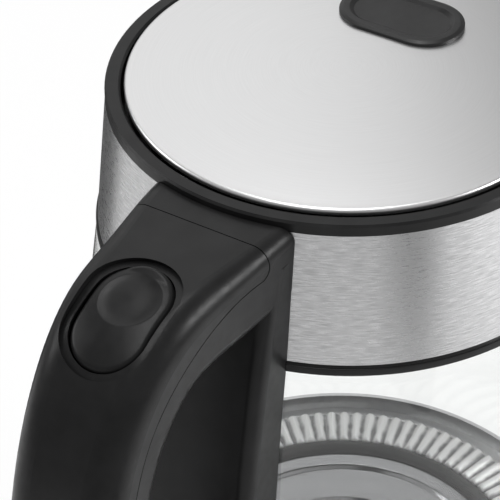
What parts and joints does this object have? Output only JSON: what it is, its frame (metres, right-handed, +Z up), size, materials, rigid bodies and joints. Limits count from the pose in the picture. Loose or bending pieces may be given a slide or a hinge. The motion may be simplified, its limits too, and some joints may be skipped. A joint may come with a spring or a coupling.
{
  "type": "electric kettle",
  "caption": "Glass electric kettle with a steel collar, hinged steel lid, black D handle with a release button, spout with a filter, and a round power base.",
  "frame": {"origin": "centre of the power base, on the plane of its feet", "axes": "+Z up, +X towards the handle, -X towards the spout"},
  "size_m": [0.2404, 0.1656, 0.2494],
  "materials": {
    "black_plastic": "fine satin moulded black",
    "inner_plastic": "dark moulded inner plastic",
    "silver_plastic": "satin silver paint",
    "brushed_steel": "circumferential brushing",
    "lid_steel": "fine satin",
    "plate_steel": "satin rolled",
    "fastener_steel": "zinc plated",
    "contact_brass": "plated",
    "element_aluminium": "as cast",
    "seal_rubber": "moulded silicone",
    "clear_glass": "clear polished",
    "clear_ring": "clear ribbed silicone",
    "board": "white lacquered board"
  },
  "bodies": {
    "power_base": {"base_shell": "black_plastic", "base_plate": "black_plastic", "base_feet": "seal_rubber", "base_screws": "fastener_steel", "cord_inlet": "seal_rubber", "base_connector": "inner_plastic", "base_contacts": "contact_brass"},
    "jug": {"lower_skirt": "silver_plastic", "bottom_cover": "black_plastic", "cover_screws": "fastener_steel", "jug_socket": "inner_plastic", "jug_contacts": "contact_brass", "control_unit": "inner_plastic", "heating_plate": "plate_steel", "plate_seal": "seal_rubber", "light_ring": "clear_ring", "light_board": "board", "heating_element": "element_aluminium", "glass_body": "clear_glass", "rim_ring": "black_plastic", "steel_collar": "brushed_steel", "lower_ring": "black_plastic", "glass_top_seal": "seal_rubber", "spout_beak": "brushed_steel", "hinge_pin": "fastener_steel", "lid_spring": "fastener_steel", "handle_frame": "black_plastic", "handle_cover": "black_plastic", "handle_screws": "fastener_steel"},
    "lid": {"lid_disc": "lid_steel", "lid_knob": "black_plastic", "lid_body": "black_plastic", "lid_liner": "inner_plastic", "lid_gasket": "seal_rubber"},
    "lid_button": {"release_button": "black_plastic"},
    "latch": {"lid_latch": "inner_plastic"},
    "power_switch": {"switch_lever": "black_plastic"},
    "spout_filter": {"filter_frame": "black_plastic", "filter_mesh": "fastener_steel"}
  },
  "joints": [
    {"name": "jug_lift", "type": "slide", "parent": "power_base", "child": "jug", "axis": [0, 0, 1], "range_m": [0, 0.07]},
    {"name": "lid_hinge", "type": "hinge", "parent": "jug", "child": "lid", "pos_m": [0.05, 0, 0.2433], "axis": [0, 1, 0], "range_deg": [0, 70]},
    {"name": "button_press", "type": "slide", "parent": "jug", "child": "lid_button", "axis": [0.4067, 0, 0.9135], "range_m": [-0.003, 0], "stiffness_N_per_m": 300, "springref_m": 0.002},
    {"name": "latch_slide", "type": "slide", "parent": "jug", "child": "latch", "axis": [1, 0, 0], "range_m": [0, 0.002]},
    {"name": "switch_rock", "type": "hinge", "parent": "jug", "child": "power_switch", "pos_m": [0.107, 0, 0.054], "axis": [0, 1, 0], "range_deg": [0, 12], "stiffness_Nm_per_rad": 0.02, "springref_deg": -5.73},
    {"name": "filter_pull", "type": "slide", "parent": "jug", "child": "spout_filter", "axis": [1, 0, 0], "range_m": [0, 0.03]}
  ],
  "couplings": [
    {"joint": "latch_slide", "follows": "button_press", "ratio": -0.66667}
  ]
}
